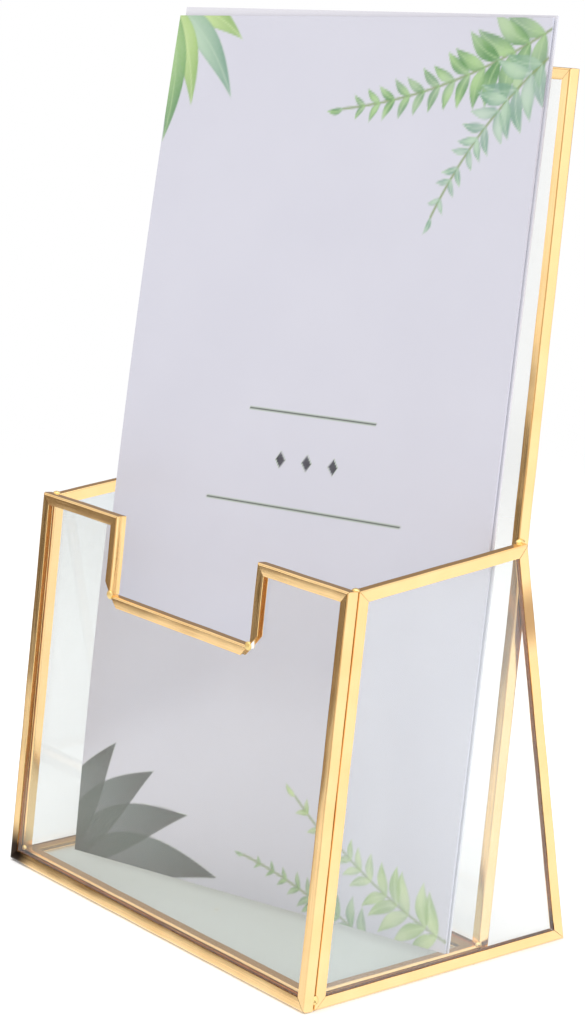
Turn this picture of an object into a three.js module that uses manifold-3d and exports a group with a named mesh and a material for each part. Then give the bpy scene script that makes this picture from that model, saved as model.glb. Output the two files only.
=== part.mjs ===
// Menu stand: five panes of glass, each edged with folded and mitred brass channel and soldered to the
// others, with two loose cards leaning in it. Millimetres, +Z up, the notched front pane faces -Y.

import * as THREE from 'three';
import { mergeVertices } from 'three/addons/utils/BufferGeometryUtils.js';
import Module from 'manifold-3d';

// Driving dimensions of the glass and the brass channel folded round its edges
const glassThickness = 2.0;
const sheetThickness = 0.25;
const legLength = 2.4; // from the channel's back to the ends of its legs
const foldInnerRadius = 0.25;
const glassSlack = 0.05; // each face of the glass to the leg beside it
const glassEdgeGap = 0.1; // the glass's edge to where the fold would stop it
const mitreGap = 0.1; // along the edge, between two mitred ends
const cutBackSlope = 1.0; // how far a leg's end goes back at a notch corner, for each millimetre of depth
const seamGap = 0.15; // between two frames that are soldered together

// Driving dimensions of the stand
const standWidth = 110;
const frontSlant = 83.2; // the front pane's height, measured up its slope
const frontLeanDegrees = 7.4; // back from upright
const notchWidth = 50.4;
const notchDepth = 17;
const sideFrontHeight = 82.4;
const sideRearHeight = 85.75;
const sideTipSetIn = 0.1; // its upper rear corner, in front of the back pane's outer face
const sideFootDepth = 67.6; // how far back the side's lower rear corner is
const baseLift = 0.4; // the base frame stands this far off the table
const backFootDepth = 45.7;
const backSlant = 179.6;
const backLeanDegrees = 6.7;

// Driving dimensions of the two cards
const cardThickness = 0.5;
const cardGap = 0.3; // between the two, and to what they rest on
const frontCardHeight = 186.7;
const rearCardHeight = 188.2;
const cardRightClearance = 0.5; // the stack's right foot to the side pane
const cardLeftClearance = 7.7;
const cardFrontClearance = 10.3; // its left foot to the front pane
const cardBackClearance = 10.4; // its right foot to the back pane
const frontCardBow = 2.2; // how far the front card's middle stands forward
const frontCardTiltDegrees = 0.3; // turned in its own plane

// Driving dimensions of the solder beads, as half widths along X, Y and Z
const beadClearance = 0.1;
const topBead = [1.1, 0.9, 0.6];
const footBead = [0.35, 1.3, 1.1];
const footBeadHeight = 2.2; // its middle, over the table
const notchBead = [1.1, 0.55, 1.1];
const tipBead = [0.8, 1.2, 0.7];
const cornerBead = [0.9, 0.9, 0.7];

// Fineness of the curves
const foldSteps = 2;
const bowSteps = 12;
const beadSides = 12;
const beadRings = 8;

// Sizes worked out from the driving ones
const channelWidth = glassThickness + 2 * (glassSlack + sheetThickness);
const foldOuterRadius = foldInnerRadius + sheetThickness;
const foldCorner = Math.max(foldInnerRadius - glassSlack, 0); // the glass's corner to the fold's centre
const foldReach = foldInnerRadius - Math.sqrt(foldInnerRadius ** 2 - foldCorner ** 2);
const glassInset = sheetThickness + foldReach + glassEdgeGap;
const halfWidth = standWidth / 2;
const innerHalfWidth = halfWidth - channelWidth;
const fittedHalfWidth = innerHalfWidth - seamGap;
const baseTop = baseLift + channelWidth;
const front = leaningPlane(frontLeanDegrees, 0);
const back = leaningPlane(backLeanDegrees, backFootDepth);

// A pane's plane that leans back about the table: where its two faces are at a height, and its origin
function leaningPlane(leanDegrees, footDepth) {
  const lean = THREE.MathUtils.degToRad(leanDegrees);
  const upward = new THREE.Vector3(0, Math.sin(lean), Math.cos(lean));
  const outerFoot = channelWidth * Math.sin(lean); // the outer lower edge is this far off the table
  return {
    upward,
    origin: new THREE.Vector3(0, footDepth + channelWidth * Math.cos(lean), 0),
    gap: seamGap / Math.cos(lean),
    innerFaceAt: (z) => footDepth + channelWidth * Math.cos(lean) + z * Math.tan(lean),
    outerFaceAt: (z) => footDepth + (z - outerFoot) * Math.tan(lean),
    outerPoint: (slant) => new THREE.Vector3(
      0,
      footDepth + slant * Math.sin(lean),
      outerFoot + slant * Math.cos(lean),
    ),
  };
}

// Materials, a new one for each piece
const brass = () => new THREE.MeshStandardMaterial({ color: 0xd8ac4e, roughness: 0.22, metalness: 1 });
const solder = () => new THREE.MeshStandardMaterial({ color: 0xe2cf98, roughness: 0.35, metalness: 1 });
const card = () => new THREE.MeshStandardMaterial({ color: 0xd8d7e2, roughness: 0.7, metalness: 0 });
const glass = () => new THREE.MeshStandardMaterial({
  color: 0xe4efec, roughness: 0.03, metalness: 0, transparent: true, opacity: 0.3,
});

function makeMesh(name, geometry, material) {
  const mesh = new THREE.Mesh(geometry, material);
  mesh.name = name;
  return mesh;
}

// The channel's section, a U of folded sheet: X across the glass from face to face, Y into the pane
function channelSection() {
  const far = channelWidth - foldOuterRadius;
  const down = 1.5 * Math.PI;
  const section = new THREE.Shape();
  section.moveTo(0, legLength);
  section.absarc(foldOuterRadius, foldOuterRadius, foldOuterRadius, Math.PI, down, false);
  section.absarc(far, foldOuterRadius, foldOuterRadius, down, 2 * Math.PI, false);
  section.lineTo(channelWidth, legLength);
  section.lineTo(channelWidth - sheetThickness, legLength);
  section.absarc(far, foldOuterRadius, foldInnerRadius, 2 * Math.PI, down, true);
  section.absarc(foldOuterRadius, foldOuterRadius, foldInnerRadius, down, Math.PI, true);
  section.lineTo(sheetThickness, legLength);
  return section;
}

// Each corner of an outline with the unit directions of the edges before and after it, anticlockwise
function cornerDirections(outline) {
  return outline.map((corner, i) => {
    const arriving = corner.clone().sub(outline.at(i - 1)).normalize();
    const leaving = outline[(i + 1) % outline.length].clone().sub(corner).normalize();
    return { corner, arriving, leaving };
  });
}

const inwardOf = (direction) => new THREE.Vector2(-direction.y, direction.x);

// How far a channel's end goes back along its edge for each millimetre of depth. At an outer corner
// that is the closed mitre of the two edges, and at a notch corner the legs are cut back to an open V.
function endSlope({ arriving, leaving }) {
  const turn = Math.atan2(arriving.cross(leaving), arriving.dot(leaving));
  return turn > 0 ? Math.tan(turn / 2) : cutBackSlope;
}

// One length of channel from a corner to the next, sheared at its ends
function channelGeometry(from, to) {
  const geometry = new THREE.ExtrudeGeometry(channelSection(), {
    depth: 1, bevelEnabled: false, curveSegments: foldSteps,
  });
  const length = from.corner.distanceTo(to.corner);
  const inward = inwardOf(from.leaving);
  const position = geometry.attributes.position;
  for (let i = 0; i < position.count; i++) {
    const depth = position.getY(i);
    const along = position.getZ(i) < 0.5
      ? mitreGap / 2 + depth * endSlope(from)
      : length - mitreGap / 2 - depth * endSlope(to);
    const point = from.corner.clone().addScaledVector(from.leaving, along).addScaledVector(inward, depth);
    position.setXYZ(i, point.x, point.y, channelWidth - position.getX(i));
  }
  geometry.computeVertexNormals();
  return geometry;
}

// The glass: the outline drawn in by the channel's back, between the channel's legs
function glassGeometry(corners) {
  const inset = corners.map(({ corner, arriving, leaving }) => {
    const before = inwardOf(arriving);
    const after = inwardOf(leaving);
    const reach = glassInset / (1 + before.dot(after));
    return corner.clone().addScaledVector(before, reach).addScaledVector(after, reach);
  });
  const geometry = new THREE.ExtrudeGeometry(new THREE.Shape(inset), {
    depth: glassThickness, bevelEnabled: false,
  });
  return geometry.translate(0, 0, sheetThickness + glassSlack);
}

// A framed pane: its outline goes anticlockwise in the pane's own X and Y, with a name for each edge,
// and its thickness runs along its own Z
function makePane(name, edges, { origin, xAxis, yAxis }) {
  const pane = new THREE.Group();
  const corners = cornerDirections(Object.values(edges).map(([x, y]) => new THREE.Vector2(x, y)));
  pane.position.copy(origin);
  pane.quaternion.setFromRotationMatrix(
    new THREE.Matrix4().makeBasis(xAxis, yAxis, xAxis.clone().cross(yAxis)),
  );
  pane.add(makeMesh(`${name}_glass`, glassGeometry(corners), glass()));
  Object.keys(edges).forEach((edge, i) => {
    const geometry = channelGeometry(corners[i], corners[(i + 1) % corners.length]);
    pane.add(makeMesh(`${name}_${edge}_channel`, geometry, brass()));
  });
  return pane;
}

const rightward = new THREE.Vector3(1, 0, 0);
const rearward = new THREE.Vector3(0, 1, 0);
const upright = new THREE.Vector3(0, 0, 1);

// Each edge is named with the corner that it starts from
function makeFront() {
  const notchSide = notchWidth / 2;
  const notchFloor = frontSlant - notchDepth;
  const edges = {
    bottom: [-halfWidth, 0],
    right: [halfWidth, 0],
    top_right: [halfWidth, frontSlant],
    notch_right: [notchSide, frontSlant],
    notch_bottom: [notchSide, notchFloor],
    notch_left: [-notchSide, notchFloor],
    top_left: [-notchSide, frontSlant],
    left: [-halfWidth, frontSlant],
  };
  return makePane('front', edges, { origin: front.origin, xAxis: rightward, yAxis: front.upward });
}

const sideFrontFoot = front.innerFaceAt(0) + front.gap;
const sideFrontTop = front.innerFaceAt(sideFrontHeight) + front.gap;
const sideRearTop = back.outerFaceAt(sideRearHeight) - sideTipSetIn;

function makeSide(name, nearX) {
  const edges = {
    bottom: [sideFrontFoot, 0],
    rear: [sideFootDepth, 0],
    top: [sideRearTop, sideRearHeight],
    front: [sideFrontTop, sideFrontHeight],
  };
  const origin = new THREE.Vector3(nearX, 0, 0);
  return makePane(name, edges, { origin, xAxis: rearward, yAxis: upright });
}

function makeBase() {
  const frontEdge = front.innerFaceAt(baseTop) + front.gap;
  const rearEdge = back.outerFaceAt(baseLift) - back.gap;
  const edges = {
    front: [-fittedHalfWidth, frontEdge],
    right: [fittedHalfWidth, frontEdge],
    rear: [fittedHalfWidth, rearEdge],
    left: [-fittedHalfWidth, rearEdge],
  };
  const origin = new THREE.Vector3(0, 0, baseLift);
  return makePane('base', edges, { origin, xAxis: rightward, yAxis: rearward });
}

function makeBack() {
  const edges = {
    bottom: [-fittedHalfWidth, 0],
    right: [fittedHalfWidth, 0],
    top: [fittedHalfWidth, backSlant],
    left: [-fittedHalfWidth, backSlant],
  };
  return makePane('back', edges, { origin: back.origin, xAxis: rightward, yAxis: back.upward });
}

// A card in the stack's frame, from its lower left corner: X across it, Y up it, Z towards the front
function makeCard(name, height, width, { bow, ahead, tilt }) {
  const geometry = new THREE.BoxGeometry(width, height, cardThickness, 1, bowSteps, 1);
  geometry.translate(width / 2, height / 2, cardThickness / 2);
  const position = geometry.attributes.position;
  for (let i = 0; i < position.count; i++) {
    const share = position.getY(i) / height;
    position.setZ(i, position.getZ(i) + 4 * bow * share * (1 - share));
  }
  geometry.computeVertexNormals();
  const mesh = makeMesh(name, geometry, card());
  mesh.position.z = ahead;
  mesh.rotation.z = tilt;
  return mesh;
}

// The two cards stand slantwise in the pocket: the right foot near the back pane and on the base's
// channel, the left foot near the front pane and on the glass, and the right edge against the back
// pane's top rail
function makeCards() {
  const footZ = baseTop - sheetThickness - glassSlack + cardGap;
  const leftFoot = new THREE.Vector3(
    cardLeftClearance - innerHalfWidth, front.innerFaceAt(footZ) + cardFrontClearance, footZ,
  );
  const rightFoot = new THREE.Vector3(
    innerHalfWidth - cardRightClearance, back.outerFaceAt(footZ) - cardBackClearance, footZ,
  );
  const width = leftFoot.distanceTo(rightFoot);
  const across = rightFoot.clone().sub(leftFoot).normalize();
  const behind = upright.clone().cross(across);
  const rail = back.outerPoint(backSlant);
  const reach = (rail.y - rightFoot.y) / across.x;
  const rise = rail.z - rightFoot.z;
  const lean = Math.acos(cardGap / Math.hypot(reach, rise)) - Math.atan2(rise, reach);
  const upward = behind.multiplyScalar(Math.sin(lean)).addScaledVector(upright, Math.cos(lean));
  const restingTilt = Math.atan2(sheetThickness + glassSlack, width);

  const stack = new THREE.Group();
  stack.position.copy(leftFoot);
  stack.quaternion.setFromRotationMatrix(
    new THREE.Matrix4().makeBasis(across, upward, across.clone().cross(upward)),
  );
  stack.add(makeCard('rear_card', rearCardHeight, width, { bow: 0, ahead: 0, tilt: restingTilt }));
  stack.add(makeCard('front_card', frontCardHeight, width, {
    bow: frontCardBow,
    ahead: cardThickness + cardGap,
    tilt: restingTilt + THREE.MathUtils.degToRad(frontCardTiltDegrees),
  }));
  return stack;
}

const wasm = await Module();
wasm.setup();

// A geometry as a solid, its corners merged
function solidOf(geometry) {
  const bare = geometry.clone();
  bare.deleteAttribute('normal');
  bare.deleteAttribute('uv');
  const merged = mergeVertices(bare, 1e-4);
  return new wasm.Manifold(new wasm.Mesh({
    numProp: 3,
    vertProperties: new Float32Array(merged.attributes.position.array),
    triVerts: new Uint32Array(merged.index.array),
  }));
}

// The solids of the panes' pieces, each with its box, in the stand's own frame
function neighbourSolids(panes) {
  const neighbours = [];
  panes.forEach((pane) => {
    pane.updateMatrixWorld(true);
    pane.children.forEach((mesh) => {
      const geometry = mesh.geometry.clone().applyMatrix4(mesh.matrixWorld);
      geometry.computeBoundingBox();
      neighbours.push({ solid: solidOf(geometry), box: geometry.boundingBox });
    });
  });
  return neighbours;
}

// A bead of solder: a flattened ball, less the pieces that it flowed against and a clearance to them
function makeBead(name, centre, radii, neighbours) {
  const ball = new THREE.SphereGeometry(1, beadSides, beadRings);
  ball.scale(...radii).translate(...centre.toArray());
  ball.computeBoundingBox();
  const reach = ball.boundingBox.clone().expandByScalar(beadClearance);
  const shifts = [0, 1, 2].flatMap((axis) => [-1, 1].map((sign) => {
    const shift = [0, 0, 0];
    shift[axis] = sign * beadClearance;
    return shift;
  }));
  let bead = solidOf(ball);
  neighbours.filter(({ box }) => box.intersectsBox(reach)).forEach(({ solid }) => {
    shifts.forEach((shift) => {
      bead = bead.subtract(solid.translate(shift));
    });
  });
  const [largest] = bead.decompose().sort((a, b) => b.volume() - a.volume());
  const { vertProperties, triVerts } = largest.getMesh();
  const geometry = new THREE.BufferGeometry();
  geometry.setAttribute('position', new THREE.BufferAttribute(vertProperties, 3));
  geometry.setIndex(new THREE.BufferAttribute(triVerts, 1));
  geometry.computeVertexNormals();
  return makeMesh(name, geometry, solder());
}

// Where solder shows, on the right (1) or the left (-1) of the stand
function beadPlaces(side) {
  const seam = front.gap / 2;
  const notchCorner = front.outerPoint(frontSlant - notchDepth);
  notchCorner.x = side * notchWidth / 2;
  const at = (x, y, z) => new THREE.Vector3(side * x, y, z);
  return {
    front_top: [at(halfWidth - channelWidth / 2, sideFrontTop - seam, sideFrontHeight), topBead],
    front_foot: [
      at(halfWidth - footBead[0] / 2, front.innerFaceAt(footBeadHeight) + seam, footBeadHeight),
      footBead,
    ],
    notch: [notchCorner, notchBead],
    rear_tip: [at(innerHalfWidth, back.outerFaceAt(sideRearHeight), sideRearHeight), tipBead],
    back_foot: [at(fittedHalfWidth, back.outerFaceAt(baseTop), baseTop), cornerBead],
    base_front: [at(fittedHalfWidth, front.innerFaceAt(baseTop), baseTop), cornerBead],
  };
}

function makeStand() {
  const panes = [
    makeFront(),
    makeSide('left', -halfWidth),
    makeSide('right', innerHalfWidth),
    makeBase(),
    makeBack(),
  ];
  const neighbours = neighbourSolids(panes);
  const beads = [['left', -1], ['right', 1]].flatMap(([hand, side]) => (
    Object.entries(beadPlaces(side)).map(([place, [centre, radii]]) => (
      makeBead(`solder_${place}_${hand}`, centre, radii, neighbours)
    ))
  ));
  const assembly = new THREE.Group();
  assembly.add(...panes, makeCards(), ...beads);
  return assembly;
}

// The origin is under the middle of the whole stand, on the table
const assembly = makeStand();
assembly.updateMatrixWorld(true);
const middle = new THREE.Box3().setFromObject(assembly, true).getCenter(new THREE.Vector3());
assembly.position.set(-middle.x, -middle.y, 0);

const stand = new THREE.Group();
stand.add(assembly);
stand.updateMatrixWorld(true);

export default stand;
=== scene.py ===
"""The looks of the menu stand: framed glass panes, soldered brass channel and two printed cards.

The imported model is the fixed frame. Its glass panes stay and get their material here. Each length of
channel, each bead of solder and each card is replaced by a finer mesh in the same place. Lengths are in
metres, +Z is up and the notched front faces -Y.
"""

import logging
import math
import zlib
from dataclasses import dataclass, field
from enum import Enum

import bpy
import numpy as np
from bpy.types import Material, Node, NodeSocket, NodeTree, Object
from mathutils import Euler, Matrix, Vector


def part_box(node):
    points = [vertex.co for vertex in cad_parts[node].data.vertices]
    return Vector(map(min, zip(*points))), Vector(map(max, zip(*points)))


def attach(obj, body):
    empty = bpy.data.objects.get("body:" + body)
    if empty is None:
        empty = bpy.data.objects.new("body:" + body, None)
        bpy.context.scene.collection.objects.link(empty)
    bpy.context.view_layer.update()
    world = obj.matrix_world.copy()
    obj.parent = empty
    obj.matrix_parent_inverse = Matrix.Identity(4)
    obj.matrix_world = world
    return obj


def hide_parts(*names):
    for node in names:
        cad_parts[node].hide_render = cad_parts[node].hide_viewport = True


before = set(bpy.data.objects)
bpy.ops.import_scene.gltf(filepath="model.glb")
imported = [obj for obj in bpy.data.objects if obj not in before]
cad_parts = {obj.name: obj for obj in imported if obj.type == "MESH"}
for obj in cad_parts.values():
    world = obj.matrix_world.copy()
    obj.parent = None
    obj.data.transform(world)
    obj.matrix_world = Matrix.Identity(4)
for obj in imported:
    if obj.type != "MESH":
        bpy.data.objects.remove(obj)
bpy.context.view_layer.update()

LOG = logging.getLogger("menu_stand")
MM = 0.001
NOISE_SPAN = {"From Min": 0.3, "From Max": 0.7}  # nearly all of a noise's values lie between these

Spot = tuple[float, float]  # a place in a plane
Point = tuple[float, float, float]  # a place or direction in the stand's frame


# Shared helpers


def linear(hex_colour: str) -> tuple[float, float, float, float]:
    """Turns an sRGB hex colour into linear light.

    Args:
        hex_colour: six hex digits, such as "F1CE86".

    Returns:
        Linear red, green and blue, and an alpha of 1.
    """
    channels = [int(hex_colour[i : i + 2], 16) / 255 for i in (0, 2, 4)]
    bent = [c / 12.92 if c <= 0.04045 else ((c + 0.055) / 1.055) ** 2.4 for c in channels]
    return (bent[0], bent[1], bent[2], 1.0)


def add(tree: NodeTree, kind: str, links: dict | None = None, **settings: object) -> Node:
    """Adds a node with its settings, its socket values and the links into it.

    Args:
        tree: the node tree.
        kind: the node's type after "ShaderNode", such as "TexNoise".
        links: an input in use, by name or number, to a value, a hex colour, an output, or a node for its
            first output.
        **settings: the node's own properties.

    Returns:
        The new node.
    """
    node = tree.nodes.new(f"ShaderNode{kind}")
    for name, value in settings.items():
        setattr(node, name, value)
    named = {socket.name: socket for socket in node.inputs if socket.enabled}
    for key, value in (links or {}).items():
        socket = named[key] if isinstance(key, str) else node.inputs[key]
        if isinstance(value, Node):
            value = next(output for output in value.outputs if output.enabled)
        if isinstance(value, NodeSocket):
            tree.links.new(value, socket)
        else:
            socket.default_value = linear(value) if isinstance(value, str) else value
    return node


def new_material(name: str) -> tuple[Material, NodeTree]:
    """Makes an empty node material.

    Args:
        name: the real material and how it was worked.

    Returns:
        The material and its node tree.
    """
    material = bpy.data.materials.new(name)
    material.use_nodes = True
    material.node_tree.nodes.clear()
    return material, material.node_tree


def grid_faces(rows: int, columns: int, wrap: bool) -> np.ndarray:
    """Gives the quads of a grid of points that are numbered row by row.

    Args:
        rows: how many rows of points.
        columns: how many points in a row.
        wrap: whether the last point of a row joins the first.

    Returns:
        Four point numbers for each quad.
    """
    row, column = np.meshgrid(np.arange(rows - 1), np.arange(columns - (not wrap)), indexing="ij")
    low, high, after = row * columns, (row + 1) * columns, (column + 1) % columns
    return np.stack([low + column, low + after, high + after, high + column], axis=-1).reshape(-1, 4)


def new_mesh(
    name: str, points: np.ndarray, faces: list, uv: np.ndarray | None, sharp_degrees: float
) -> Object:
    """Makes a smooth-shaded mesh object whose place is in its mesh.

    Args:
        name: the object's name.
        points: each point's place, in metres.
        faces: each face's point numbers.
        uv: each point's place in the pattern, or None.
        sharp_degrees: edges that fold by more than this stay sharp.

    Returns:
        The object, linked to the scene.
    """
    mesh = bpy.data.meshes.new(name)
    mesh.from_pydata(points.tolist(), [], faces)
    if uv is not None:
        corners = np.empty(len(mesh.loops), np.int32)
        mesh.loops.foreach_get("vertex_index", corners)
        mesh.uv_layers.new(name="pattern").data.foreach_set("uv", uv[corners].astype(np.float32).ravel())
    mesh.shade_smooth()
    mesh.set_sharp_from_angle(angle=math.radians(sharp_degrees))
    mesh.update()
    piece = bpy.data.objects.new(name, mesh)
    bpy.context.scene.collection.objects.link(piece)
    return piece


def seeded(name: str) -> np.random.Generator:
    """Gives a random generator that is always the same for one name."""
    return np.random.default_rng(zlib.crc32(name.encode()))


def waves(along: np.ndarray, lengths: tuple[float, ...], rng: np.random.Generator) -> np.ndarray:
    """Adds up one sine of each wavelength, each with a random phase.

    Args:
        along: where the sum is taken, in metres.
        lengths: the wavelengths.
        rng: what draws the phases.

    Returns:
        The sum at each place, between about -1 and 1.
    """
    phases = rng.uniform(0, 2 * math.pi, len(lengths))
    parts = [np.sin(2 * math.pi * along / w + p) for w, p in zip(lengths, phases)]
    return np.sum(parts, axis=0) / math.sqrt(len(lengths))


# Finishes


@dataclass(frozen=True)
class DarkPatch:
    """A patch where the brass is coloured darker; the right strut's is a painted dark reflection."""

    colour: str
    place: Point
    reach: float
    core: float = 0.2  # the share of the reach within which it is full


@dataclass(frozen=True)
class PolishedBrass:
    """Brass sheet, rolled, folded into channel and hand polished.

    It mirrors the room in long bright and dark stripes. Fine polishing lines run along the channel, and
    the tint drifts from pale to warm where handling and heat have touched it.
    """

    pale: str = "F8D8A2"
    warm: str = "EFC386"
    tint_patch: float = 9 * MM
    inside: str = "DFB87E"  # the glass's side of the channel, which nobody polishes
    inside_roughness: float = 0.08  # added to the outside's
    rim: float = 0.15 * MM  # how far round the leg's edge the outside's finish fades
    dark_patches: tuple[DarkPatch, ...] = (
        DarkPatch("2A1A0C", (-0.0532, -0.0346, 0.0022), 8 * MM),  # the left front foot
        # the next patch is a painted dark reflection on the right strut
        DarkPatch("B89468", (0.0537, 0.0220, 0.0708), 9 * MM),  # the right strut, below the tip
    )
    roughness_low: float = 0.09
    roughness_high: float = 0.21
    polish_line: float = 0.25 * MM  # real lines are under 0.05 mm, drawn coarser so that they show
    polish_stretch: float = 50.0  # a line's length over its width
    polish_depth: float = 0.25 * MM / 60
    polish_strength: float = 0.6
    dent_patch: float = 6 * MM
    dent_depth: float = 0.02 * MM

    def material(self) -> Material:
        """Builds the node material. The pattern's second coordinate is over 0 inside the channel.

        Returns:
            The material.
        """
        material, tree = new_material("brass_sheet_folded_polished")
        place = add(tree, "TexCoord").outputs
        tint = add(tree, "TexNoise", {"Vector": place["Object"], "Scale": 1 / self.tint_patch, "Detail": 3.0})
        colour = add(tree, "Mix", {"Factor": tint, "A": self.pale, "B": self.warm}, data_type="RGBA")
        # mixes in the dark patches, among them the right strut's painted dark reflection
        for dark_patch in self.dark_patches:
            away = add(tree, "VectorMath", {0: place["Object"], 1: dark_patch.place}, operation="DISTANCE")
            darkening = add(tree, "MapRange", {
                "Value": away, "From Min": dark_patch.reach, "From Max": dark_patch.core * dark_patch.reach},
                interpolation_type="SMOOTHSTEP")
            colour = add(tree, "Mix", {"Factor": darkening, "A": colour, "B": dark_patch.colour}, data_type="RGBA")
        round_section = add(tree, "SeparateXYZ", {"Vector": place["UV"]}).outputs["Y"]
        inner = add(tree, "MapRange", {"Value": round_section, "From Min": 0.0, "From Max": self.rim})
        colour = add(tree, "Mix", {"Factor": inner, "A": colour, "B": self.inside}, data_type="RGBA")
        stretched = add(tree, "Mapping", {
            "Vector": place["UV"], "Scale": (1 / self.polish_stretch, 1.0, 1.0)})
        lines = add(tree, "TexNoise", {"Vector": stretched, "Scale": 1 / self.polish_line, "Detail": 2.0})
        polish = add(tree, "MapRange", {
            "Value": lines, **NOISE_SPAN,
            "To Min": self.roughness_low, "To Max": self.roughness_high})
        roughness = add(tree, "Math", {
            0: inner, 1: self.inside_roughness, 2: polish}, operation="MULTIPLY_ADD")
        dents = add(tree, "TexNoise", {
            "Vector": place["Object"], "Scale": 1 / self.dent_patch, "Detail": 1.0})
        worked = add(tree, "Bump", {"Height": dents, "Distance": self.dent_depth, "Strength": 1.0})
        polished = add(tree, "Bump", {
            "Height": lines, "Distance": self.polish_depth, "Strength": self.polish_strength,
            "Normal": worked})
        shader = add(tree, "BsdfPrincipled", {
            "Base Color": colour, "Metallic": 1.0, "Roughness": roughness, "Normal": polished})
        add(tree, "OutputMaterial", {"Surface": shader})
        return material


@dataclass(frozen=True)
class SolderBead:
    """Solder, melted into the corner and wiped over with brass colour.

    Duller than the sheet, with a soft lumpy skin and a few dark flux specks.
    """

    pale: str = "F0D490"
    flux: str = "8E6C3C"
    speck_low: float = 0.62  # specks are where the skin's noise is over this
    speck_high: float = 0.72
    roughness: float = 0.36
    lump: float = 0.7 * MM
    lump_depth: float = 0.7 * MM / 6
    lump_strength: float = 0.7

    def material(self) -> Material:
        """Builds the node material.

        Returns:
            The material.
        """
        material, tree = new_material("solder_melted_brass_coloured")
        place = add(tree, "TexCoord").outputs
        skin = add(tree, "TexNoise", {"Vector": place["Object"], "Scale": 1 / self.lump, "Detail": 4.0})
        specks = add(tree, "MapRange", {
            "Value": skin, "From Min": self.speck_low, "From Max": self.speck_high})
        colour = add(tree, "Mix", {"Factor": specks, "A": self.pale, "B": self.flux}, data_type="RGBA")
        bump = add(tree, "Bump", {
            "Height": skin, "Distance": self.lump_depth, "Strength": self.lump_strength})
        shader = add(tree, "BsdfPrincipled", {
            "Base Color": colour, "Metallic": 1.0, "Roughness": self.roughness, "Normal": bump})
        add(tree, "OutputMaterial", {"Surface": shader})
        return material


@dataclass(frozen=True)
class FloatGlass:
    """Clear float glass, 2 mm, cut and set in channel.

    Nearly invisible but for its reflections, a faint grey-green cast and a trace of wiping marks.
    """

    name: str = "float_glass_clear_cut"
    tint: str = "F8FAFA"
    shade: str = "FCFDFD"  # what is left of lamp light behind it
    dust: str = "F4F8F8"
    index: float = 1.5
    gloss: float = 0.5  # 0.5 mirrors as much as the index says, and less is duller
    wipe_mark: float = 14 * MM
    mark_squash: float = 0.35  # wiping marks are drawn out upwards
    film: float = 0.05  # how much of each face is veiled by dust and wiping marks
    film_change: float = 0.3  # and how much more or less in places, as a share of that

    def material(self) -> Material:
        """Builds the node material. Lamps, diffuse light and mirrored light pass straight through.

        Returns:
            The material.
        """
        material, tree = new_material(self.name)
        place = add(tree, "TexCoord").outputs
        stretched = add(tree, "Mapping", {"Vector": place["Object"], "Scale": (1.0, 1.0, self.mark_squash)})
        marks = add(tree, "TexNoise", {"Vector": stretched, "Scale": 1 / self.wipe_mark, "Detail": 3.0})
        veil = add(tree, "MapRange", {
            "Value": marks, **NOISE_SPAN,
            "To Min": (1 - self.film_change) * self.film, "To Max": (1 + self.film_change) * self.film})
        clean = add(tree, "BsdfPrincipled", {
            "Base Color": self.tint, "Roughness": 0.0, "IOR": self.index,
            "Transmission Weight": 1.0, "Specular IOR Level": self.gloss})
        dust = add(tree, "BsdfDiffuse", {"Color": self.dust})
        glass = add(tree, "MixShader", {0: veil, 1: clean, 2: dust})
        clear = add(tree, "BsdfTransparent", {"Color": self.shade})
        path = add(tree, "LightPath").outputs
        straight = path["Is Shadow Ray"]
        for ray in ("Is Diffuse Ray", "Is Reflection Ray"):
            straight = add(tree, "Math", {0: straight, 1: path[ray]}, operation="MAXIMUM")
        mix = add(tree, "MixShader", {0: straight, 1: glass, 2: clear})
        add(tree, "OutputMaterial", {"Surface": mix})
        return material


@dataclass(frozen=True)
class PrintedCard:
    """Heavy uncoated card, printed in water-colour greens.

    Matt and faintly fibrous, with a cool white that looks lavender in shade, and ink that lies in the
    surface with no gloss of its own.
    """

    name: str = "card_uncoated_printed"
    paper: str = "C6C7D3"
    shade: str = "C0C1CE"
    cloud: float = 25 * MM
    fibre: float = 0.7 * MM
    fibre_depth: float = 0.01 * MM
    ink_on_fibres: float = 0.94  # what the fibres leave of the ink's cover
    roughness: float = 0.62
    gloss: float = 0.3

    def material(self) -> Material:
        """Builds the node material. The ink's colour and cover are the mesh's own attribute.

        Returns:
            The material.
        """
        material, tree = new_material(self.name)
        place = add(tree, "TexCoord").outputs
        cloud = add(tree, "TexNoise", {"Vector": place["Object"], "Scale": 1 / self.cloud, "Detail": 2.0})
        fibre = add(tree, "TexNoise", {"Vector": place["Object"], "Scale": 1 / self.fibre, "Detail": 3.0})
        paper = add(tree, "Mix", {"Factor": cloud, "A": self.paper, "B": self.shade}, data_type="RGBA")
        ink = add(tree, "Attribute", attribute_name="ink").outputs
        grain = add(tree, "MapRange", {
            "Value": fibre, **NOISE_SPAN, "To Min": self.ink_on_fibres})
        cover = add(tree, "Math", {0: ink["Alpha"], 1: grain}, operation="MULTIPLY")
        colour = add(tree, "Mix", {"Factor": cover, "A": paper, "B": ink["Color"]}, data_type="RGBA")
        bump = add(tree, "Bump", {"Height": fibre, "Distance": self.fibre_depth, "Strength": 0.5})
        shader = add(tree, "BsdfPrincipled", {
            "Base Color": colour, "Roughness": self.roughness, "Specular IOR Level": self.gloss,
            "Normal": bump})
        add(tree, "OutputMaterial", {"Surface": shader})
        return material


# The brass frames


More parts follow.
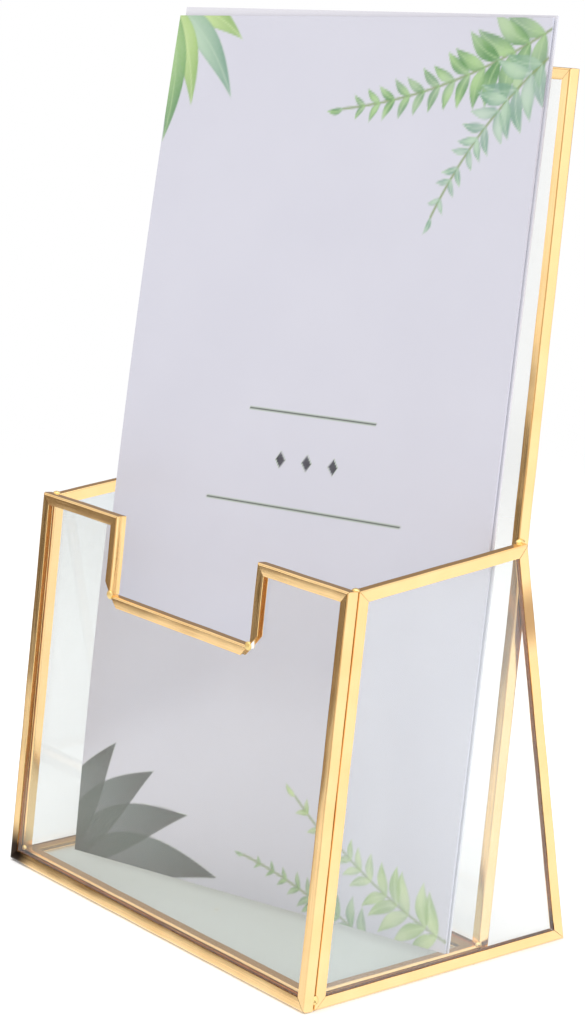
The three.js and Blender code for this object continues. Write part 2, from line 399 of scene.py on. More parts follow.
@dataclass(frozen=True)
class FoldedChannel:
    """The section of the channel: a U of folded sheet with its legs pinched a little on to the glass."""

    width: float = 2.6 * MM
    leg: float = 2.4 * MM
    sheet: float = 0.25 * MM
    inner_radius: float = 0.25 * MM
    pinch: float = 0.1 * MM  # how much thinner each leg looks at its free end
    crown: float = 0.015 * MM  # how far the back and the legs belly out
    support: float = 0.06 * MM  # the extra point beside a fold, which keeps the flats flat
    arc_steps: int = 6
    flat_steps: int = 4

    def section(self) -> tuple[np.ndarray, np.ndarray]:
        """Works out the section.

        Each fold is two quarter circles of one centre. Each flat between folds has its points spread by a
        parameter t from 0 to 1, and its outer face stands out by 4 t (1 - t) times the crown.

        Returns:
            Points as (across the glass, into the pane), and for each point 1 on an outer face, 0 inside.
        """
        outer_radius = self.inner_radius + self.sheet
        far = self.width - outer_radius
        reach = self.leg - outer_radius
        quarter = np.linspace(0, math.pi / 2, self.arc_steps + 1)
        t = np.linspace(0, 1, self.flat_steps + 1)[1:-1]
        t = np.concatenate([[self.support / far], t, [1 - self.support / far]])
        bulge = 4 * t * (1 - t) * self.crown

        def arc(centre: float, radius: float, turn: np.ndarray) -> np.ndarray:
            """Gives the points of a fold's circle at some angles."""
            return np.column_stack([centre + radius * np.cos(turn), outer_radius + radius * np.sin(turn)])

        near_leg = np.column_stack([self.pinch * (1 - t) - bulge, self.leg - reach * t])
        web = np.column_stack([outer_radius + (far - outer_radius) * t, -bulge])
        far_leg = np.column_stack([self.width - self.pinch * t + bulge, outer_radius + reach * t])
        outer = np.concatenate([
            [[self.pinch, self.leg]],
            near_leg,
            arc(outer_radius, outer_radius, math.pi + quarter),
            web,
            arc(far, outer_radius, 1.5 * math.pi + quarter),
            far_leg,
            [[self.width - self.pinch, self.leg]]])
        inner = np.concatenate([
            [[self.width - self.sheet, self.leg]],
            arc(far, self.inner_radius, 2 * math.pi - quarter),
            arc(outer_radius, self.inner_radius, 1.5 * math.pi - quarter),
            [[self.sheet, self.leg]]])
        is_outer = np.concatenate([np.ones(len(outer)), np.zeros(len(inner))])
        return np.concatenate([outer, inner]), is_outer


@dataclass
class FramedPane:
    """A pane of glass in its frame: one sheet and a length of channel for each edge of its outline."""

    name: str
    edges: dict[str, Spot]  # each edge with the corner that it starts from, anticlockwise
    origin: np.ndarray
    x_axis: np.ndarray
    y_axis: np.ndarray
    channel: FoldedChannel = field(default_factory=FoldedChannel)
    mitre_gap: float = 0.1 * MM
    mitre_slip: float = 0.05 * MM  # how far off the mitre a leg's edge may be cut
    cut_back: float = 1.0
    ring_step: float = 2 * MM
    wave: float = 0.03 * MM
    wave_lengths: tuple[float, ...] = (85 * MM, 37 * MM, 17 * MM)

    def runs(self) -> list[tuple[np.ndarray, np.ndarray, float, float]]:
        """Works out how the channel runs along each edge.

        Its legs are cut to the mitre of the two edges, but back to an open V where the outline turns
        right, at the inner corners of the notch.

        Returns:
            Each edge's first corner, the way from there to its last one, and how far the legs' ends go
            back along it for each metre of depth, at the first corner and at the last.
        """
        corners = np.array(list(self.edges.values()))
        ways = np.roll(corners, -1, axis=0) - corners
        (x0, y0), (x1, y1) = np.roll(ways, 1, axis=0).T, ways.T
        left_turns = np.arctan2(x0 * y1 - y0 * x1, x0 * x1 + y0 * y1)
        slopes = np.where(left_turns > 0, np.tan(left_turns / 2), self.cut_back)
        return list(zip(corners, ways, slopes, np.roll(slopes, -1)))

    def channel_piece(
        self, edge: str, corner: np.ndarray, way: np.ndarray, first_slope: float, last_slope: float
    ) -> Object:
        """Builds one length of channel.

        The section is carried from one corner to the next. At depth d a line of the channel begins at d
        times the first slope along the edge, and ends at d times the last slope before its end. The outer
        faces wander by a sum of slow sines, because the channel is folded and polished by hand.

        Args:
            edge: the edge's name.
            corner: the corner it starts from.
            way: the way from there to the next corner.
            first_slope: how far the legs' ends go back for each metre of depth, at the first corner.
            last_slope: and at the last.

        Returns:
            The mesh object.
        """
        name = f"{self.name}_{edge}_channel"
        rng = seeded(name)
        section, is_outer = self.channel.section()
        across, depth = section[:, 0], section[:, 1]
        length = float(np.linalg.norm(way))
        heading = way / length
        inward = np.array([-heading[1], heading[0]])
        share = np.linspace(0, 1, max(3, round(length / self.ring_step)))[:, None]
        slip = rng.uniform(-self.mitre_slip, self.mitre_slip, 2)
        slipping = is_outer * depth / self.channel.leg
        begin = self.mitre_gap / 2 + depth * first_slope + slip[0] * slipping
        stop = length - self.mitre_gap / 2 - depth * last_slope + slip[1] * slipping
        along = begin * (1 - share) + stop * share
        hold = self.wave * np.sin(math.pi * share) * is_outer  # it dies out at the soldered ends
        sideways = waves(along, self.wave_lengths, rng) * hold
        sunk = waves(along, self.wave_lengths, rng) * hold
        flat = corner + along[..., None] * heading + (depth + sunk)[..., None] * inward
        out = (self.channel.width - across + sideways)[..., None]
        normal = np.cross(self.x_axis, self.y_axis)
        points = self.origin + flat[..., :1] * self.x_axis + flat[..., 1:] * self.y_axis + out * normal
        rings, count = along.shape
        faces = grid_faces(rings, count, wrap=True).tolist()
        faces.append(list(range(count))[::-1])
        faces.append(list(range((rings - 1) * count, rings * count)))
        round_section = np.concatenate([[0], np.cumsum(np.linalg.norm(np.diff(section, axis=0), axis=1))])
        round_section -= round_section[int(is_outer.sum()) - 1]  # below 0 outside, over 0 inside
        uv = np.stack([along, np.broadcast_to(round_section, along.shape)], axis=-1)
        return new_mesh(f"{name}_folded", points.reshape(-1, 3), faces, uv.reshape(-1, 2), sharp_degrees=40)

    def build(self, brass: Material, glass: Material) -> list[Object]:
        """Builds the frame's channels and dresses them and the pane's glass.

        Args:
            brass: the channels' material.
            glass: the glass's material.

        Returns:
            The new pieces.
        """
        pieces = []
        for edge, run in zip(self.edges, self.runs()):
            piece = self.channel_piece(edge, *run)
            piece.data.materials.append(brass)
            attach(piece, "frame")
            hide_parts(f"{self.name}_{edge}_channel")
            pieces.append(piece)
        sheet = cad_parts[f"{self.name}_glass"]
        sheet.data.materials.clear()
        sheet.data.materials.append(glass)
        return pieces


@dataclass
class GlassHolder:
    """The five framed panes and the beads of solder that join them, all one body."""

    width: float = 110 * MM
    channel: FoldedChannel = field(default_factory=FoldedChannel)
    seam_gap: float = 0.15 * MM
    front_slant: float = 83.2 * MM
    front_lean: float = math.radians(7.4)
    notch_width: float = 50.4 * MM
    notch_depth: float = 17 * MM
    side_front_height: float = 82.4 * MM
    side_rear_height: float = 85.75 * MM
    side_tip_set_in: float = 0.1 * MM
    side_foot_depth: float = 67.6 * MM
    base_lift: float = 0.4 * MM
    back_foot_depth: float = 45.7 * MM
    back_slant: float = 179.6 * MM
    back_lean: float = math.radians(6.7)
    bead_fill: float = 0.86  # a bead's mean radius, as a share of its node's half size
    bead_lumps: tuple[float, float] = (0.05, 0.04)  # the two sine patterns' heights, as shares of it
    unmirrored: tuple[str, ...] = ("back_left", "left_rear", "left_top")

    def outer_face(self, foot: float, lean: float, z: float) -> float:
        """Gives the depth of a leaning pane's front face at a height, before the frame's own shift."""
        return foot + (z - self.channel.width * math.sin(lean)) * math.tan(lean)

    def inner_face(self, foot: float, lean: float, z: float) -> float:
        """Gives the depth of a leaning pane's rear face at a height, before the frame's own shift."""
        return foot + self.channel.width * math.cos(lean) + z * math.tan(lean)

    def panes(self) -> list[FramedPane]:
        """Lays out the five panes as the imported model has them.

        Depths are worked out from the front's foot and then shifted as a whole, so that the base pane
        lies on its node.

        Returns:
            The panes: front, left, right, base and back.
        """
        channel, half = self.channel, self.width / 2
        inner_half = half - channel.width
        fitted = inner_half - self.seam_gap
        base_top = self.base_lift + channel.width
        side, up, back = np.array([1.0, 0, 0]), np.array([0, 0, 1.0]), np.array([0, 1.0, 0])
        base_front = self.inner_face(0, self.front_lean, base_top) + self.seam_gap
        base_rear = self.outer_face(self.back_foot_depth, self.back_lean, self.base_lift) - self.seam_gap
        base_low, base_high = (np.array(corner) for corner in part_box("base_glass"))
        shift = back * ((base_low[1] + base_high[1]) / 2 - (base_front + base_rear) / 2)
        notch = self.notch_width / 2
        ledge = self.front_slant - self.notch_depth
        front_foot = self.inner_face(0, self.front_lean, 0) + self.seam_gap
        front_top = self.inner_face(0, self.front_lean, self.side_front_height) + self.seam_gap
        rear_tip = self.outer_face(self.back_foot_depth, self.back_lean, self.side_rear_height)
        side_edges = {
            "bottom": (front_foot, 0),
            "rear": (self.side_foot_depth, 0),
            "top": (rear_tip - self.side_tip_set_in, self.side_rear_height),
            "front": (front_top, self.side_front_height),
        }

        def leaning(name: str, foot: float, lean: float, edges: dict[str, Spot]) -> FramedPane:
            """Lays out a pane that leans back from its foot."""
            origin = shift + back * (foot + channel.width * math.cos(lean))
            return FramedPane(name, edges, origin, side, math.sin(lean) * back + math.cos(lean) * up, channel)

        return [
            leaning("front", 0, self.front_lean, {
                "bottom": (-half, 0),
                "right": (half, 0),
                "top_right": (half, self.front_slant),
                "notch_right": (notch, self.front_slant),
                "notch_bottom": (notch, ledge),
                "notch_left": (-notch, ledge),
                "top_left": (-notch, self.front_slant),
                "left": (-half, self.front_slant),
            }),
            FramedPane("left", side_edges, shift - side * half, back, up, channel),
            FramedPane("right", side_edges, shift + side * inner_half, back, up, channel),
            FramedPane("base", {
                "front": (-fitted, base_front),
                "right": (fitted, base_front),
                "rear": (fitted, base_rear),
                "left": (-fitted, base_rear),
            }, shift + self.base_lift * up, side, back, channel),
            leaning("back", self.back_foot_depth, self.back_lean, {
                "bottom": (-fitted, 0),
                "right": (fitted, 0),
                "top": (fitted, self.back_slant),
                "left": (-fitted, self.back_slant),
            }),
        ]

    def bead(self, node: str, rings: int = 18, sides: int = 28) -> Object:
        """Builds one bead of solder over its node.

        It is an ellipsoid nearly as large as the node's box, whose radius swells and sinks by a product
        of sines of the two angles.

        Args:
            node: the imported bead's name.
            rings: rings of points between the poles.
            sides: points in a ring.

        Returns:
            The mesh object.
        """
        low, high = (np.array(corner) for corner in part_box(node))
        centre, radii = (low + high) / 2, (high - low) / 2
        rise = np.linspace(-math.pi / 2, math.pi / 2, rings + 2)[1:-1, None]
        turn = np.linspace(0, 2 * math.pi, sides, endpoint=False)[None, :]
        phase = seeded(node).uniform(0, 2 * math.pi, 4)
        lump = self.bead_lumps[0] * np.sin(2 * turn + phase[0]) * np.sin(3 * rise + phase[1])
        finer = self.bead_lumps[1] * np.sin(3 * turn + phase[2]) * np.cos(4 * rise + phase[3])
        swell = self.bead_fill + (lump + finer * np.cos(rise)) * np.cos(rise)
        ball = (np.cos(rise) * np.cos(turn), np.cos(rise) * np.sin(turn), np.sin(rise))
        unit = np.stack([swell * part for part in ball], axis=-1).reshape(-1, 3)
        poles = [[0, 0, -self.bead_fill], [0, 0, self.bead_fill]]
        points = np.concatenate([unit, poles]) * radii + centre
        faces = grid_faces(rings, sides, wrap=True).tolist()
        south, north = rings * sides, rings * sides + 1
        top = (rings - 1) * sides
        for i in range(sides):
            after = (i + 1) % sides
            faces.append([south, after, i])
            faces.append([north, top + i, top + after])
        return new_mesh(f"{node}_bead", points, faces, None, sharp_degrees=80)

    def build(self) -> list[Object]:
        """Builds and dresses every channel, pane and bead.

        Returns:
            The new pieces.
        """
        brass = PolishedBrass().material()
        clear = FloatGlass().material()
        glass = {
            "front": FloatGlass("float_glass_clear_front", tint="FEFFFF", film=0.008, gloss=0.2).material(),
            "left": FloatGlass("float_glass_clear_left", tint="DEE3E5").material(),
            "right": clear,
            # the base's tint is darker than the other panes': the glass's faint cast plus painted shade of
            # the floor beneath
            "base": FloatGlass(
                "float_glass_clear_base", tint="EEF1F0", shade="E0E4E2", film=0.02, gloss=0.2).material(),
            "back": clear,
        }
        solder = SolderBead().material()
        pieces = []
        for pane in self.panes():
            pieces += pane.build(brass, glass[pane.name])
        for piece in pieces:
            if piece.name.startswith(self.unmirrored):
                piece.visible_glossy = False  # the real cards hide these from the base glass's mirror
        for node in sorted(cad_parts):
            if node.startswith("solder_"):
                piece = self.bead(node)
                piece.data.materials.append(solder)
                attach(piece, "frame")
                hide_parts(node)
                pieces.append(piece)
        return pieces


# The printed cards


def pigment(hex_colour: str) -> np.ndarray:
    """Gives the linear red, green and blue of an sRGB hex colour."""
    return np.array(linear(hex_colour)[:3])


class Green(Enum):
    """The water-colour greens of the print, each a pair of light and deep wash."""

    SPRING = ("B9CF93", "86A95F")
    LEAF = ("9DBD86", "5C8A55")
    SAGE = ("A9C2AC", "6F9580")
    FOREST = ("2F4E49", "10272A")


@dataclass
class WaterColour:
    """Ink laid on the card, with its colour times cover and its cover at each point of the sheet.

    Places and widths are in millimetres from the card's lower left corner.
    """

    u: np.ndarray  # along the card's width
    v: np.ndarray  # up the card
    soft: float = 0.3  # the width of a painted edge
    leaf_outline: float = 0.3  # the cover on the outline of a leaf or a lozenge
    line_outline: float = 0.5  # and on that of a stem or a rule
    wave: float = 0.35  # how far a leaf's wash swings between light and deep, along the leaf
    ripple: float = 0.25  # and across it
    pool: float = 0.45  # how much deeper the wash dries at the outline
    pool_width: float = 0.35
    vein: float = 0.6  # how much lighter it is along the middle
    vein_width: float = 0.2
    leaf_cover: float = 0.86
    cover_swing: float = 0.1
    stem_cover: float = 0.85
    stem_points: int = 30
    bare: float = 0.02  # a cover that counts as none
    stem_green: str = "7C8F5C"
    grey: str = "45454D"  # of the rules and lozenges

    def __post_init__(self) -> None:
        """Starts with no ink."""
        self.tinted = np.zeros(self.u.shape + (3,))
        self.cover = np.zeros(self.u.shape)

    def lay(self, colour: np.ndarray, cover: np.ndarray) -> None:
        """Lays a colour over what is there, by the usual rule of over."""
        self.tinted = self.tinted * (1 - cover)[..., None] + colour * cover[..., None]
        self.cover = self.cover * (1 - cover) + cover

    def leaf(
        self, base: Spot, angle: float, length: float, width: float, green: Green, bend: float = 0.1
    ) -> None:
        """Paints one leaf.

        With a from 0 at the base to 1 at the tip, the middle line stands aside by 4 bend a (1 - a) times
        the length, and the half width is the sine of pi times a to the power 0.8. The wash goes from
        light to deep in slow waves, is deeper near the edge and lighter along the middle line.

        Args:
            base: where the leaf starts.
            angle: its direction, in degrees from the card's width.
            length: from base to tip.
            width: across its widest place.
            green: its pair of washes.
            bend: how far its middle line stands aside, as a share of its length.
        """
        heading = math.radians(angle)
        du, dv = self.u - base[0], self.v - base[1]
        a = (du * math.cos(heading) + dv * math.sin(heading)) / length
        held = np.clip(a, 0, 1)
        aside = dv * math.cos(heading) - du * math.sin(heading) - 4 * bend * length * held * (1 - held)
        inside = width / 2 * np.sin(math.pi * held**0.8) - np.abs(aside)
        cover = np.clip(inside / self.soft + self.leaf_outline, 0, 1) * (a > 0) * (a < 1)
        wash = 0.5 + self.wave * np.sin(5 * a + base[0]) + self.ripple * np.sin(aside * 4 / width + base[1])
        wash = np.clip(wash + self.pool * np.exp(-np.maximum(inside, 0) / self.pool_width), 0, 1)
        wash = wash * (1 - self.vein * np.exp(-((aside / self.vein_width) ** 2)))
        light, deep = (pigment(wash_colour) for wash_colour in green.value)
        colour = light + (deep - light) * wash[..., None]
        self.lay(colour, cover * (self.leaf_cover + self.cover_swing * np.sin(3 * a + base[0] * 2)))

    def stem(self, start: Spot, end: Spot, sag: float, width: float) -> np.ndarray:
        """Paints a stem, a quadratic curve whose middle control point stands aside by sag.

        Args:
            start: its foot.
            end: its tip.
            sag: how far the control point stands to the left of the chord.
            width: the stem's width.

        Returns:
            Points along it with the direction there in degrees, as rows of u, v and direction.
        """
        start, end = np.array(start), np.array(end)
        chord = end - start
        middle = (start + end) / 2 + sag * np.array([-chord[1], chord[0]]) / np.linalg.norm(chord)
        t = np.linspace(0, 1, self.stem_points)[:, None]
        line = (1 - t) ** 2 * start + 2 * t * (1 - t) * middle + t**2 * end
        heading = 2 * (1 - t) * (middle - start) + 2 * t * (end - middle)
        near = np.full(self.u.shape, np.inf)
        for (u, v), (du, dv) in zip(line[:-1], np.diff(line, axis=0)):
            share = np.clip(((self.u - u) * du + (self.v - v) * dv) / (du**2 + dv**2), 0, 1)
            near = np.minimum(near, np.hypot(self.u - u - share * du, self.v - v - share * dv))
        cover = np.clip((width / 2 - near) / self.soft + self.line_outline, 0, 1)
        self.lay(pigment(self.stem_green), cover * self.stem_cover)
        degrees = np.degrees(np.arctan2(heading[:, 1], heading[:, 0]))
        return np.column_stack([line, degrees])

    def rule(self, centre: Spot, length: float, width: float) -> None:
        """Paints a plain thin rule, level with the card's foot.

        Args:
            centre: its middle.
            length: along the card's width.
            width: how thick it is.
        """
        ends = np.clip((length / 2 - np.abs(self.u - centre[0])) / self.soft, 0, 1)
        band = np.clip((width / 2 - np.abs(self.v - centre[1])) / self.soft + self.line_outline, 0, 1)
        self.lay(pigment(self.grey), ends * band)

    def lozenge(self, centre: Spot, width: float, height: float) -> None:
        """Paints a plain lozenge."""
        inside = 1 - 2 * np.abs(self.u - centre[0]) / width - 2 * np.abs(self.v - centre[1]) / height
        self.lay(pigment(self.grey), np.clip(inside * height / 2 / self.soft + self.leaf_outline, 0, 1))

    def ink(self) -> np.ndarray:
        """Gives the ink at each point.

        Returns:
            Linear red, green and blue, and the cover. Bare card has a green too, so that edges don't darken.
        """
        cover = self.cover[..., None]
        colour = np.where(
            cover > self.bare, self.tinted / np.maximum(cover, self.bare), pigment(Green.LEAF.value[0]))
        return np.concatenate([colour, cover], axis=-1)


@dataclass(frozen=True)
class Frond:
    """A stem with pairs of narrow leaflets that shorten towards its tip. Lengths are in millimetres."""

    start: Spot
    end: Spot
    sag: float  # as a stem's
    pairs: int
    longest: float
    green: Green
    stem_width: float = 0.55
    bare: float = 0.08  # the share of the stem before the first pair
    leafy: float = 0.9  # the share that the pairs are spread over
    taper: float = 0.75  # how much of a leaflet's length is lost by the tip
    uneven: float = 0.1  # how much the lengths vary
    spread: float = 58.0  # the angle between leaflet and stem at the foot, in degrees
    closing: float = 14.0  # how much less it is at the tip
    sway: float = 5.0  # how far it swings from pair to pair
    slender: float = 0.36  # a leaflet's width over its length
    droop: float = 0.09  # a leaflet's bend
    tip_length: float = 0.35  # of the last leaflet, over the longest one
    tip_width: float = 0.12

    def paint(self, ink: WaterColour) -> None:
        """Paints the frond.

        Args:
            ink: what it is laid on.
        """
        stem = ink.stem(self.start, self.end, self.sag, self.stem_width)
        for i in range(self.pairs):
            share = self.bare + self.leafy * i / self.pairs
            u, v, heading = stem[int(share * (len(stem) - 1))]
            size = self.longest * (1 - self.taper * share) * (1 - self.uneven + self.uneven * math.sin(7 * i))
            for hand in (1, -1):
                spread = self.spread - self.closing * share + self.sway * math.sin(3 * i + hand)
                angle = heading + hand * spread
                ink.leaf((u, v), angle, size, size * self.slender, self.green, -self.droop * hand)
        u, v, heading = stem[-1]
        ink.leaf((u, v), heading, self.longest * self.tip_length, self.longest * self.tip_width, self.green)


@dataclass
class CardSheet:
    """A loose sheet of card, a little bent, whose place is given by the corners of its printed face."""

    name: str
    bottom_left: Point  # the four corners are in millimetres
    bottom_right: Point
    top_left: Point
    top_right: Point
    bow: float
    bands: tuple[tuple[float, float], ...]  # each band's upper end and its step, in millimetres up the card
    column_step: float
    printed: bool
    bow_left: float = 1.15  # the share of the bow on the left
    bow_fade: float = 1.05  # how much less there is on the right, which leans on the back pane
    thickness: float = 0.5 * MM
    back_cells: int = 8

    @property
    def size(self) -> tuple[float, float]:
        """The width along the foot and the height along the left edge, in millimetres."""
        return math.dist(self.bottom_left, self.bottom_right), math.dist(self.bottom_left, self.top_left)

    def face(self, s: np.ndarray, t: np.ndarray, behind: float) -> np.ndarray:
        """Works out points of the sheet.

        The four corners are blended in the shares s and t. The sheet bows forward by 4 t (1 - t) times
        the bow, and times a share that falls evenly from the left edge to the right one.

        Args:
            s: share of the way from left to right.
            t: share of the way up.
            behind: distance behind the printed face.

        Returns:
            The places in the stand.
        """
        across = np.subtract(self.bottom_right, self.bottom_left)
        low = np.array(self.bottom_left) + s[..., None] * across
        high = np.array(self.top_left) + s[..., None] * np.subtract(self.top_right, self.top_left)
        normal = np.cross(across, np.subtract(self.top_left, self.bottom_left))
        normal = normal / np.linalg.norm(normal)
        out = 4 * self.bow * t * (1 - t) * (self.bow_left - self.bow_fade * s) - behind
        return (low + t[..., None] * (high - low)) * MM + out[..., None] * normal

    def shares(self) -> tuple[np.ndarray, np.ndarray]:
        """Spreads the columns and rows, fine where the print is.

        Returns:
            The columns' shares of the width and the rows' shares of the height.
        """
        width, height = self.size
        rows, low = [0.0], 0.0
        for high, step in self.bands:
            high = min(high, height)
            count = max(1, round((high - low) / step))
            rows += (low + (high - low) * np.arange(1, count + 1) / count).tolist()
            low = high
        return np.linspace(0, 1, round(width / self.column_step) + 1), np.array(rows) / rows[-1]

    def back_faces(self, rows: int, columns: int, first: int) -> list[list[int]]:
        """Covers the plain back with a few large faces that take in every point of its border.

        Args:
            rows: rows of points.
            columns: points in a row.
            first: the number of the back's first point.

        Returns:
            Each face's point numbers.
        """
        row_cuts = np.unique(np.linspace(0, rows - 1, self.back_cells + 1).astype(int))
        column_cuts = np.unique(np.linspace(0, columns - 1, self.back_cells + 1).astype(int))
        faces = []
        for low, high in zip(row_cuts[:-1], row_cuts[1:]):
            for left, right in zip(column_cuts[:-1], column_cuts[1:]):
                bottom = range(left, right) if low == 0 else [left]
                up_right = range(low, high) if right == columns - 1 else [low]
                top = range(right, left, -1) if high == rows - 1 else [right]
                up_left = range(high, low, -1) if left == 0 else [high]
                loop = [(low, c) for c in bottom] + [(r, right) for r in up_right]
                loop += [(high, c) for c in top] + [(r, left) for r in up_left]
                faces.append([first + r * columns + c for r, c in reversed(loop)])
        return faces

    def build(self, card: Material) -> Object:
        """Builds the closed sheet, paints it and dresses it.

        Args:
            card: the card's material.

        Returns:
            The mesh object.
        """
        columns, rows = self.shares()
        t, s = np.meshgrid(rows, columns, indexing="ij")
        front = self.face(s, t, 0.0)
        back = self.face(s, t, self.thickness)
        count = s.size
        faces = grid_faces(len(rows), len(columns), wrap=False).tolist()
        faces += self.back_faces(len(rows), len(columns), count)
        number = np.arange(count).reshape(s.shape)
        border = np.concatenate([number[0, :-1], number[:-1, -1], number[-1, :0:-1], number[:0:-1, 0]])
        after = np.roll(border, -1)
        faces += np.column_stack([border, border + count, after + count, after]).tolist()
        points = np.concatenate([front.reshape(-1, 3), back.reshape(-1, 3)])
        used = np.unique(np.concatenate([np.array(f) for f in faces]))
        renumber = np.full(len(points), -1)
        renumber[used] = np.arange(len(used))
        faces = [renumber[f].tolist() for f in faces]
        piece = new_mesh(f"{self.name}_sheet", points[used], faces, None, sharp_degrees=40)
        ink = np.zeros((2 * count, 4))
        if self.printed:
            ink[:count] = self.paint(s, t).reshape(-1, 4)
        colours = piece.data.color_attributes.new("ink", "FLOAT_COLOR", "POINT")
        colours.data.foreach_set("color", ink[used].astype(np.float32).ravel())
        piece.data.materials.append(card)
        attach(piece, self.name)
        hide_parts(self.name)
        piece.visible_glossy = False  # the photographed brass mirrors the room and not the card
        return piece

    def paint(self, s: np.ndarray, t: np.ndarray) -> np.ndarray:
        """Paints the card: fronds and blades at its head and foot, and two plain rules in the middle.

        Args:
            s: share of the way from left to right.
            t: share of the way up.

        Returns:
            The ink's colour and cover at each point.
        """
        width, height = self.size
        ink = WaterColour(s * width, t * height)
        Frond((width + 2, height - 1), (width - 50, height - 19), 6, 13, 13, Green.LEAF).paint(ink)
        Frond((width + 1, height - 7), (width - 24, height - 40), -5, 11, 11, Green.SAGE).paint(ink)
        for angle, length, green in (
            (-20, 24, Green.SPRING), (-44, 30, Green.SAGE), (-66, 25, Green.SPRING), (-84, 31, Green.LEAF)):
            ink.leaf((-3, height + 3), angle, length, 6.0, green, bend=0.08)
        for angle, length in ((8, 46), (27, 40), (46, 36), (66, 33)):
            ink.leaf((-4, -4), angle, length, 10.5, Green.FOREST, bend=0.07)
        Frond((width + 1, 2), (width - 40, 24), 5, 11, 11, Green.SPRING).paint(ink)
        Frond((width - 18, -3), (width - 52, 9), -3, 9, 8, Green.LEAF).paint(ink)
        middle, upper_rule, lozenges, lower_rule, pitch = width / 2 + 2, 103, 93, 83, 7
        ink.rule((middle, upper_rule), length=34, width=0.5)
        ink.rule((middle, lower_rule), length=52, width=0.35)
        for step in (-1, 0, 1):
            ink.lozenge((middle + step * pitch, lozenges), width=2.6, height=3.6)
        return ink.ink()


# The studio


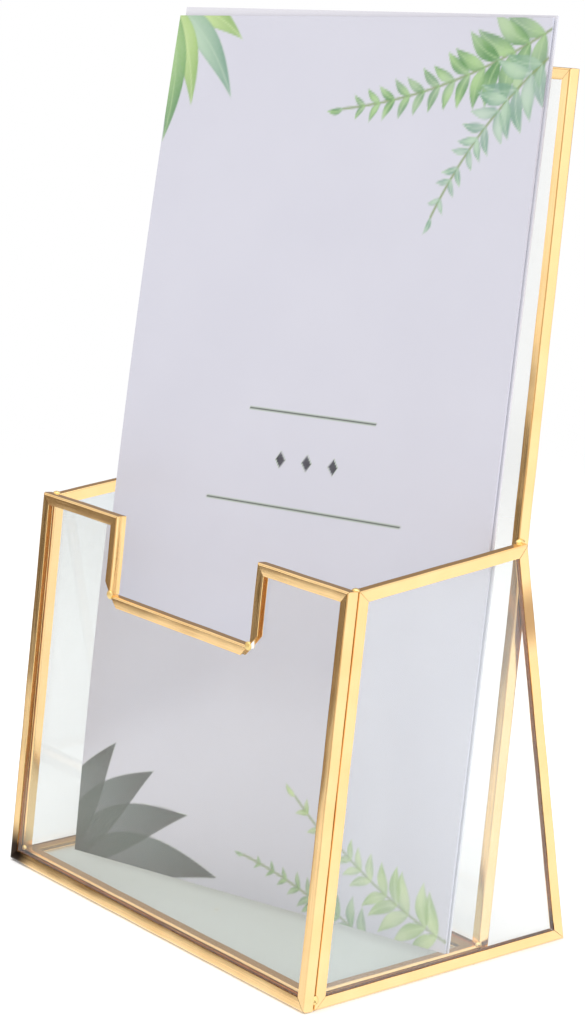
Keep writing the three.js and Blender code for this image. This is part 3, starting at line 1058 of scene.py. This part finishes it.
@dataclass
class Studio:
    """A white sweep in soft light, the floor and the camera. Nothing here is part of the stand."""

    white: float = 1.0
    fill: float = 0.6
    ceiling: float = 1.2
    bright: float = 1.4
    window: float = 1.3
    dim: str = "EBD3AC"
    dark: str = "584C3A"
    dusk: str = "8E8070"
    shelf: str = "A2958A"
    aim_height: float = 0.09  # of what the lamps face
    floor_radius: float = 0.7
    floor_full: float = 0.12
    floor_gone: float = 0.5
    floor_sides: int = 64
    floor_grain: float = 100 / 3 * MM
    focal: float = 99.66
    sensor: float = 36.0
    clip_start: float = 0.01
    camera_place: Point = (0.46644, -0.34177, 0.21670)
    camera_tilt: float = -12.82
    camera_turn: float = 53.49

    def world(self) -> None:
        """Builds the surroundings: white to the eye, a room in reflections.

        The room has light from the right, a ceiling and a bright ground. Over that lie a dim side, a
        window in it, a dark stripe at its foot that turns to dusk on the left, and a brown shelf behind.
        """
        world = bpy.data.worlds.new("studio_sweep")
        bpy.context.scene.world = world
        world.use_nodes = True
        tree = world.node_tree
        tree.nodes.clear()
        heading = add(tree, "TexCoord").outputs["Generated"]
        path = add(tree, "LightPath").outputs
        right, up = (1.0, 0.0, 0.0), (0.0, 0.0, 1.0)

        def ramp(
            along: Point, start: float, full: float, low: float = 0.0, high: float = 1.0,
            easing: str = "SMOOTHSTEP",
        ) -> Node:
            """Lays a soft change across the surroundings.

            Args:
                along: what the direction looked in is multiplied with, as a scalar product.
                start: the product where the change starts.
                full: the product where it is complete.
                low: the value before.
                high: the value after.
                easing: the change's kind.

            Returns:
                The node that gives the value.
            """
            product = add(tree, "VectorMath", {0: heading, 1: along}, operation="DOT_PRODUCT")
            return add(tree, "MapRange", {
                "Value": product, "From Min": start, "From Max": full, "To Min": low, "To Max": high},
                interpolation_type=easing)

        def joined(operation: str, first: Node | NodeSocket, *others: Node | NodeSocket) -> Node:
            """Joins two or more values into one.

            Args:
                operation: "MULTIPLY" for their product or "MAXIMUM" for the greatest.
                first: the first value.
                *others: the others.

            Returns:
                The node that gives the joined value.
            """
            for other in others:
                first = add(tree, "Math", {0: first, 1: other}, operation=operation)
            return first

        light = joined(
            "MAXIMUM",
            ramp(right, 0.2, 0.7, low=self.fill, high=self.bright),
            ramp(up, 0.1, 0.6, high=self.ceiling, easing="LINEAR"),
            ramp(up, -0.1, -0.16, high=self.ceiling))
        dim_side = joined(
            "MULTIPLY", ramp((-0.85, -0.52, 0.08), 0.0, 0.75), ramp(up, -0.12, -0.08), ramp(up, 0.5, 0.28))
        stripe_foot = joined("MAXIMUM", ramp((-1.5, 0.0, 1.0), 1.035, 1.065), ramp(up, -0.142, -0.112))
        stripe = joined(
            "MULTIPLY", stripe_foot, ramp(up, -0.02, -0.05), ramp((-0.844, -0.522, -0.120), 0.90, 0.94))
        leftward = ramp(right, -0.795, -0.825)
        shadow = add(tree, "Mix", {"Factor": leftward, "A": self.dark, "B": self.dusk}, data_type="RGBA")
        seen = joined("MAXIMUM", path["Is Camera Ray"], path["Is Transmission Ray"])
        colour = light
        for mask, painted in (
            (dim_side, self.dim),
            (ramp((-0.74, -0.66, 0.08), 0.961, 0.982), (self.window,) * 3 + (1.0,)),
            (stripe, shadow),
            (ramp((-0.784, 0.58, 0.222), 0.82, 0.95), self.shelf),
            (seen, (self.white,) * 3 + (1.0,)),
        ):
            colour = add(tree, "Mix", {"Factor": mask, "A": colour, "B": painted}, data_type="RGBA")
        background = add(tree, "Background", {"Color": colour})
        add(tree, "OutputWorld", {"Surface": background})

    def floor(self) -> Object:
        """Lays the floor, a disc of matt white board that fades into the sweep with distance.

        Returns:
            The mesh object.
        """
        turn = np.linspace(0, 2 * math.pi, self.floor_sides, endpoint=False)
        rim = np.column_stack([np.cos(turn), np.sin(turn), np.zeros(self.floor_sides)]) * self.floor_radius
        piece = new_mesh("studio_floor", rim, [list(range(self.floor_sides))], None, sharp_degrees=30)
        material, tree = new_material("floor_painted_board")
        place = add(tree, "TexCoord").outputs["Object"]
        grain = add(tree, "TexNoise", {"Vector": place, "Scale": 1 / self.floor_grain})
        colour = add(tree, "Mix", {"Factor": grain, "A": "FCFCFC", "B": "F9F9FA"}, data_type="RGBA")
        shader = add(tree, "BsdfPrincipled", {
            "Base Color": colour, "Roughness": 0.8, "Specular IOR Level": 0.1})
        radius = add(tree, "VectorMath", {0: place}, operation="LENGTH")
        fade = add(tree, "MapRange", {
            "Value": radius, "From Min": self.floor_full, "From Max": self.floor_gone},
            interpolation_type="SMOOTHSTEP")
        mix = add(tree, "MixShader", {0: fade, 1: shader, 2: add(tree, "BsdfTransparent")})
        add(tree, "OutputMaterial", {"Surface": mix})
        piece.data.materials.append(material)
        piece.visible_glossy = False  # the brass mirrors the surroundings' own lower half
        return piece

    def lamp(self, name: str, place: Point, size: float, watts: float) -> None:
        """Hangs one soft square lamp that faces the middle of the stand.

        Args:
            name: the lamp's name.
            place: where it hangs.
            size: the length of its side.
            watts: its power.
        """
        light = bpy.data.lights.new(name, "AREA")
        light.shape = "SQUARE"
        light.size = size
        light.energy = watts
        holder = bpy.data.objects.new(name, light)
        holder.location = place
        aim = np.array([0, 0, self.aim_height]) - np.array(place)
        pitch = math.atan2(float(np.hypot(aim[0], aim[1])), -float(aim[2]))
        holder.rotation_euler = Euler((pitch, 0, math.atan2(-aim[0], aim[1])))
        bpy.context.scene.collection.objects.link(holder)

    def camera(self) -> None:
        """Sets the camera at the photograph's angle."""
        data = bpy.data.cameras.new("photo_camera")
        data.lens = self.focal
        data.sensor_width = self.sensor
        data.clip_start = self.clip_start
        camera = bpy.data.objects.new("photo_camera", data)
        camera.location = self.camera_place
        tilt, turn = math.radians(90 + self.camera_tilt), math.radians(self.camera_turn)
        camera.rotation_euler = Euler((tilt, 0, turn))
        bpy.context.scene.collection.objects.link(camera)
        bpy.context.scene.camera = camera

    def build(self) -> None:
        """Sets up the camera, the surroundings, the floor and the lamps."""
        bpy.context.scene.view_settings.view_transform = "Standard"
        self.camera()
        self.world()
        self.floor()
        self.lamp("key_lamp", (1.0, -0.15, 0.55), size=0.6, watts=1.5)
        self.lamp("top_lamp", (-0.1, -0.1, 1.1), size=0.9, watts=4.0)


def main() -> None:
    """Builds the studio, the holder and the cards in order."""
    logging.basicConfig(level=logging.INFO, format="%(name)s: %(message)s")
    Studio().build()
    pieces = GlassHolder().build()
    card = PrintedCard().material()
    # the rear card's paper is lighter than the printed card's: painted light against the front card's shadow
    # on it
    plain = PrintedCard(name="card_uncoated_plain", paper="D2D2DA", shade="CDCDD6").material()
    rear = CardSheet(
        "rear_card",
        bottom_left=(-44.3, -21.9, 2.9), bottom_right=(52.2, 3.1, 3.1),
        top_left=(-52.0, 13.3, 186.9), top_right=(47.5, 32.6, 188.5),
        bow=1.6 * MM, printed=False, column_step=6, bands=((200, 6),))
    front = CardSheet(
        "front_card",
        bottom_left=(-44.6, -22.8, 2.9), bottom_right=(52.2, 2.2, 3.3),
        top_left=(-52.6, 12.0, 185.1), top_right=(47.2, 31.7, 188.1),
        bow=2.2 * MM, printed=True, column_step=0.33,
        bands=((44, 0.37), (79, 5), (104.5, 0.5), (140, 5), (200, 0.37)))
    pieces += [rear.build(plain), front.build(card)]
    for piece in pieces:
        LOG.info("%s, %d faces", piece.name, len(piece.data.polygons))


if __name__ == "__main__":
    main()
